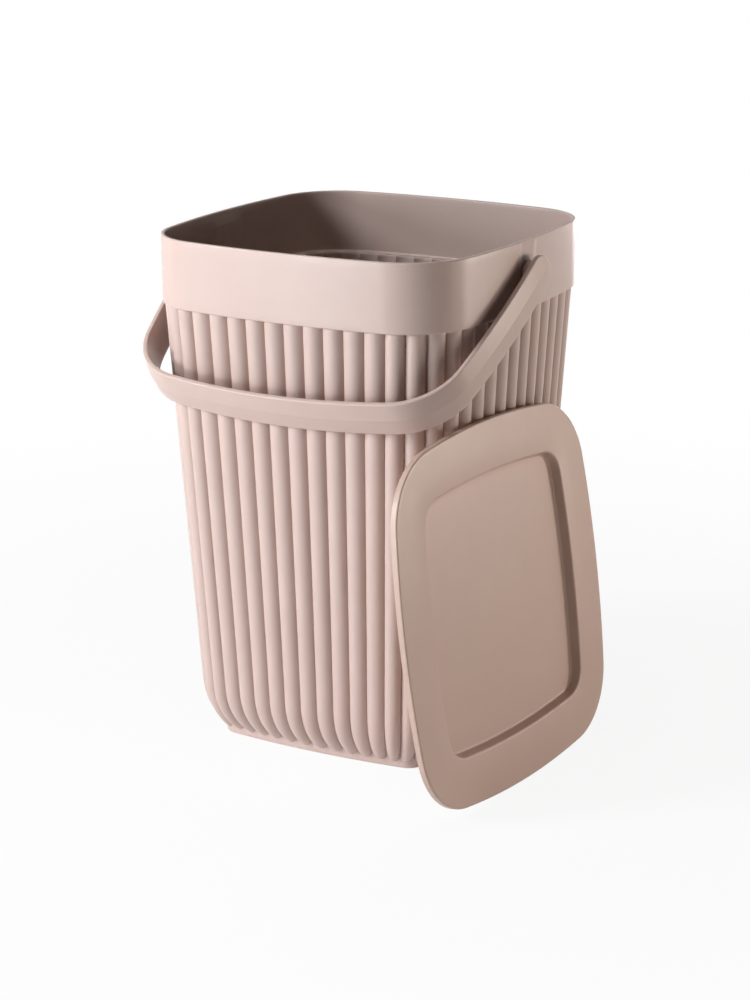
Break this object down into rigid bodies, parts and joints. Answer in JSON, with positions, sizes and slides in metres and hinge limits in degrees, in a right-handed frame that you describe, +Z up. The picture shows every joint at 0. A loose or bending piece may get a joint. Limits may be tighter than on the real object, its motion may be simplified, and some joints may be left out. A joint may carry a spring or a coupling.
{
  "type": "waste bin",
  "caption": "Open-topped square waste bin with bowed sides, a smooth collar over a reeded tapering wall, a swing handle and a loose flat lid leaning on one side.",
  "frame": {"origin": "centre of the foot, on the surface the bin stands on", "axes": "+Z up, the handle's pivot axis along X, the handle hanging to the front (-Y), the lid leaning on the right side (+X)"},
  "size_m": [0.244, 0.2544, 0.305],
  "materials": {
    "bin_plastic": "satin moulded taupe",
    "handle_plastic": "satin moulded taupe",
    "lid_plastic": "satin moulded taupe"
  },
  "bodies": {
    "bin": {"bin_body": "bin_plastic"},
    "handle": {"handle": "handle_plastic"},
    "lid": {"lid": "lid_plastic"}
  },
  "joints": [
    {"name": "handle_swing", "type": "hinge", "parent": "bin", "child": "handle", "pos_m": [0, 0, 0.285], "axis": [-1, 0, 0], "range_deg": [0, 246.08]},
    {"name": "lid_pull_away", "type": "slide", "parent": "bin", "child": "lid", "axis": [0.9893, -0.057, 0.134], "range_m": [0, 0.15]}
  ]
}
